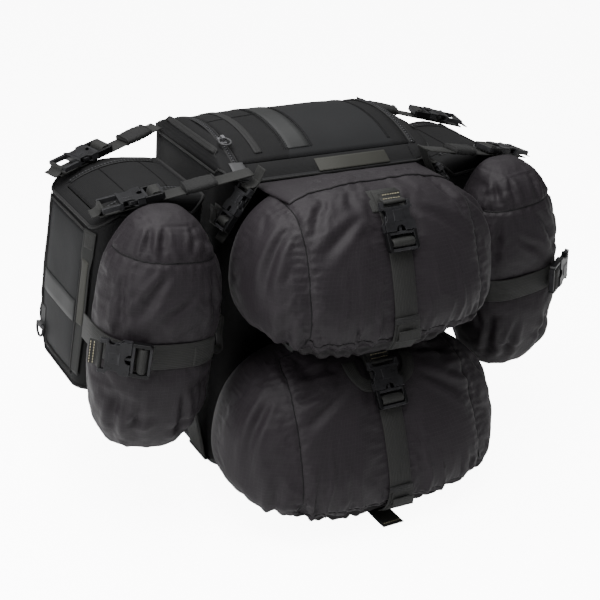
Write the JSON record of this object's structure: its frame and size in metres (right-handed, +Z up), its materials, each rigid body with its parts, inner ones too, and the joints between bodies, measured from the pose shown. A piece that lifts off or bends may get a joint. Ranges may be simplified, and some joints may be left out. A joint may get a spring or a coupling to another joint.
{
  "type": "motorcycle saddlebag set",
  "caption": "Soft motorcycle saddlebag set: centre bag with crowned lid, hung panniers and strapped roll pouches, with zips, buckles and D-rings.",
  "frame": {"origin": "centre of the underside of the centre bag's base mat, where it rests on the seat", "axes": "+X across the bike to its left side, -Y towards the rider in front of the bag, +Z up"},
  "size_m": [0.839, 0.5296, 0.5381],
  "materials": {
    "ripstop": "fine ripstop nylon, soft sheen",
    "nylon": "dark ballistic nylon",
    "coated": "smooth coated fabric",
    "webbing": "woven polyester webbing",
    "grip": "padded grip sleeve",
    "reflective": "grey reflective tape",
    "liner": "waterproof liner",
    "inset": "coated band with a plain inset",
    "buckle": "moulded acetal",
    "ring": "black coated wire",
    "board": "stiffener sheet",
    "rubber": "non-slip rubber",
    "zip": "coil zip and tape",
    "puller": "moulded puller ring"
  },
  "bodies": {
    "luggage": {"base_mat": "rubber", "saddle_straps": "webbing", "centre_shell": "nylon", "base_board": "board", "centre_liner": "liner", "zip_tapes": "zip", "front_yoke": "inset", "upper_pouch": "ripstop", "upper_strap": "webbing", "upper_female": "buckle", "lower_pouch": "ripstop", "lower_strap": "webbing", "lower_female": "buckle", "corner_straps": "webbing", "corner_females": "buckle", "loose_webbing": "webbing", "link_straps": "webbing", "link_grips": "grip", "link_females": "buckle", "reflectors": "reflective", "webbing_tabs": "webbing", "left_shell": "nylon", "left_liner": "liner", "left_board": "board", "left_panel": "coated", "left_band": "inset", "left_pouch": "ripstop", "left_belt": "webbing", "left_belt_female": "buckle", "right_shell": "nylon", "right_liner": "liner", "right_board": "board", "right_panel": "coated", "right_band": "inset", "right_pouch": "ripstop", "right_belt": "webbing", "right_belt_female": "buckle"},
    "centre_lid": {"centre_lid": "coated", "lid_stripe": "reflective"},
    "zip_slider": {"zip_slider": "zip"},
    "zip_ring": {"zip_ring": "puller"},
    "upper_male": {"upper_male": "buckle"},
    "lower_male": {"lower_male": "buckle"},
    "left_corner_male": {"left_corner_male": "buckle"},
    "left_belt_male": {"left_belt_male": "buckle"},
    "left_front_male": {"left_front_male": "buckle"},
    "left_rear_male": {"left_rear_male": "buckle"},
    "left_lid": {"left_lid": "nylon"},
    "left_slider": {"left_slider": "zip"},
    "left_ring": {"left_ring": "ring"},
    "right_corner_male": {"right_corner_male": "buckle"},
    "right_belt_male": {"right_belt_male": "buckle"},
    "right_front_male": {"right_front_male": "buckle"},
    "right_rear_male": {"right_rear_male": "buckle"},
    "right_lid": {"right_lid": "nylon"},
    "right_slider": {"right_slider": "zip"},
    "right_ring": {"right_ring": "ring"}
  },
  "joints": [
    {"name": "centre_lid_hinge", "type": "hinge", "parent": "luggage", "child": "centre_lid", "pos_m": [0, 0.1108, 0.50748], "axis": [-1, 0, 0], "range_deg": [0, 85]},
    {"name": "zip_slider_run", "type": "hinge", "parent": "luggage", "child": "zip_slider", "pos_m": [0, 0, 0.28927], "axis": [-1, 0, 0], "range_deg": [-9.32, 34.14]},
    {"name": "zip_ring_swing", "type": "hinge", "parent": "zip_slider", "child": "zip_ring", "pos_m": [-0.156, -0.06622, 0.53369], "axis": [-1, 0, 0], "range_deg": [0, 170]},
    {"name": "upper_buckle_release", "type": "slide", "parent": "luggage", "child": "upper_male", "axis": [0, -0.5499, -0.8353], "range_m": [0, 0.032]},
    {"name": "lower_buckle_release", "type": "slide", "parent": "luggage", "child": "lower_male", "axis": [0, -0.6122, -0.7907], "range_m": [0, 0.032]},
    {"name": "left_corner_buckle_release", "type": "slide", "parent": "luggage", "child": "left_corner_male", "axis": [-0.5592, 0, -0.829], "range_m": [0, 0.025]},
    {"name": "left_belt_buckle_release", "type": "slide", "parent": "luggage", "child": "left_belt_male", "axis": [0.8525, -0.5122, -0.1047], "range_m": [0, 0.032]},
    {"name": "left_front_buckle_release", "type": "slide", "parent": "luggage", "child": "left_front_male", "axis": [0.9681, -0.1457, 0.204], "range_m": [0, 0.025]},
    {"name": "left_rear_buckle_release", "type": "slide", "parent": "luggage", "child": "left_rear_male", "axis": [0.9457, 0.2491, 0.2086], "range_m": [0, 0.025]},
    {"name": "left_lid_hinge", "type": "hinge", "parent": "luggage", "child": "left_lid", "pos_m": [-0.21294, -0.03, 0.46858], "axis": [0, 1, 0], "range_deg": [0, 70]},
    {"name": "left_zip_run", "type": "hinge", "parent": "luggage", "child": "left_slider", "pos_m": [-0.27017, -0.03, 0.30443], "axis": [0, -1, 0], "range_deg": [-23.46, 11.33]},
    {"name": "left_ring_swing", "type": "hinge", "parent": "luggage", "child": "left_ring", "pos_m": [-0.41179, 0.024, 0.23334], "axis": [0, 1, 0], "range_deg": [0, 150]},
    {"name": "right_corner_buckle_release", "type": "slide", "parent": "luggage", "child": "right_corner_male", "axis": [0.5592, 0, -0.829], "range_m": [0, 0.025]},
    {"name": "right_belt_buckle_release", "type": "slide", "parent": "luggage", "child": "right_belt_male", "axis": [-0.8525, -0.5122, -0.1047], "range_m": [0, 0.032]},
    {"name": "right_front_buckle_release", "type": "slide", "parent": "luggage", "child": "right_front_male", "axis": [-0.9681, -0.1457, 0.204], "range_m": [0, 0.025]},
    {"name": "right_rear_buckle_release", "type": "slide", "parent": "luggage", "child": "right_rear_male", "axis": [-0.9457, 0.2491, 0.2086], "range_m": [0, 0.025]},
    {"name": "right_lid_hinge", "type": "hinge", "parent": "luggage", "child": "right_lid", "pos_m": [0.21294, -0.03, 0.46858], "axis": [0, -1, 0], "range_deg": [0, 70]},
    {"name": "right_zip_run", "type": "hinge", "parent": "luggage", "child": "right_slider", "pos_m": [0.27017, -0.03, 0.30443], "axis": [0, 1, 0], "range_deg": [-23.46, 11.33]},
    {"name": "right_ring_swing", "type": "hinge", "parent": "luggage", "child": "right_ring", "pos_m": [0.41179, 0.024, 0.23334], "axis": [0, -1, 0], "range_deg": [0, 150]}
  ]
}
